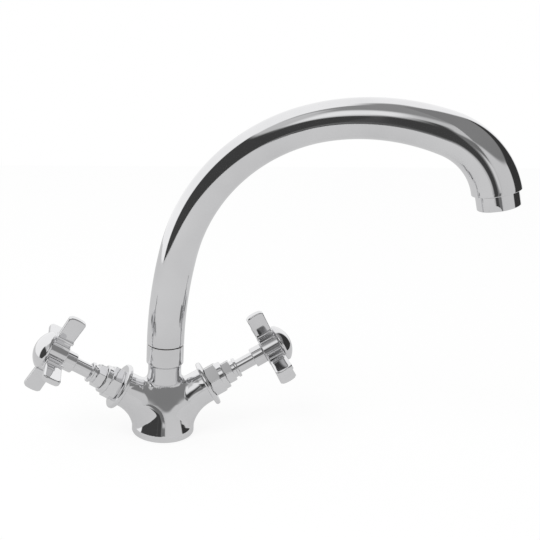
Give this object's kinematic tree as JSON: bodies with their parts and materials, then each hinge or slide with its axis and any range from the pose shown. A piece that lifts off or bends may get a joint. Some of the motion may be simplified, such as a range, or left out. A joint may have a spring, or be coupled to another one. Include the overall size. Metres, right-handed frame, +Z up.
{
  "type": "kitchen tap",
  "caption": "Two-handle deck-mounted kitchen tap with cross handles on inclined arms, quarter-turn ceramic valves and a high swan-neck spout that swivels.",
  "frame": {"origin": "centre of the round base's underside, on the deck", "axes": "+X towards the right-hand handle as the user sees it, -Y towards the user, +Z up; the spout is stored turned 22 degrees from +X towards the user, as pictured"},
  "size_m": [0.3376, 0.1401, 0.2711],
  "materials": {
    "chrome": "polished",
    "brass": "turned",
    "rubber": "matt",
    "ceramic": "lapped",
    "plastic": "moulded"
  },
  "bodies": {
    "body": {"body_casting": "chrome", "deck_seal": "rubber", "swivel_collar": "chrome", "slip_washer": "plastic", "left_valve_ring": "chrome", "left_headwork": "chrome", "left_gland_nut": "chrome", "left_fixed_disc": "ceramic", "left_seat_seal": "rubber", "right_valve_ring": "chrome", "right_headwork": "chrome", "right_gland_nut": "chrome", "right_fixed_disc": "ceramic", "right_seat_seal": "rubber"},
    "spout": {"spout_spigot": "brass", "spout_seals": "rubber", "spout_tube": "chrome", "outlet_ring": "brass", "aerator_housing": "chrome", "aerator_gasket": "rubber", "aerator_insert": "plastic", "outlet_grid": "plastic"},
    "left_handle": {"left_spindle": "chrome", "left_spindle_seals": "rubber", "left_moving_disc": "ceramic", "left_ferrule": "chrome", "left_cross_handle": "chrome", "left_handle_screw": "brass", "left_dome_cap": "chrome"},
    "right_handle": {"right_spindle": "chrome", "right_spindle_seals": "rubber", "right_moving_disc": "ceramic", "right_ferrule": "chrome", "right_cross_handle": "chrome", "right_handle_screw": "brass", "right_dome_cap": "chrome"}
  },
  "joints": [
    {"name": "spout_swivel", "type": "hinge", "parent": "body", "child": "spout", "pos_m": [0, 0, 0.0726], "axis": [0, 0, 1], "continuous": true},
    {"name": "left_handle_turn", "type": "hinge", "parent": "body", "child": "left_handle", "pos_m": [0, 0, 0.0187], "axis": [-0.8678, 0, 0.497], "range_deg": [0, 90]},
    {"name": "right_handle_turn", "type": "hinge", "parent": "body", "child": "right_handle", "pos_m": [0, 0, 0.0187], "axis": [0.8678, 0, 0.497], "range_deg": [-90, 0]}
  ]
}
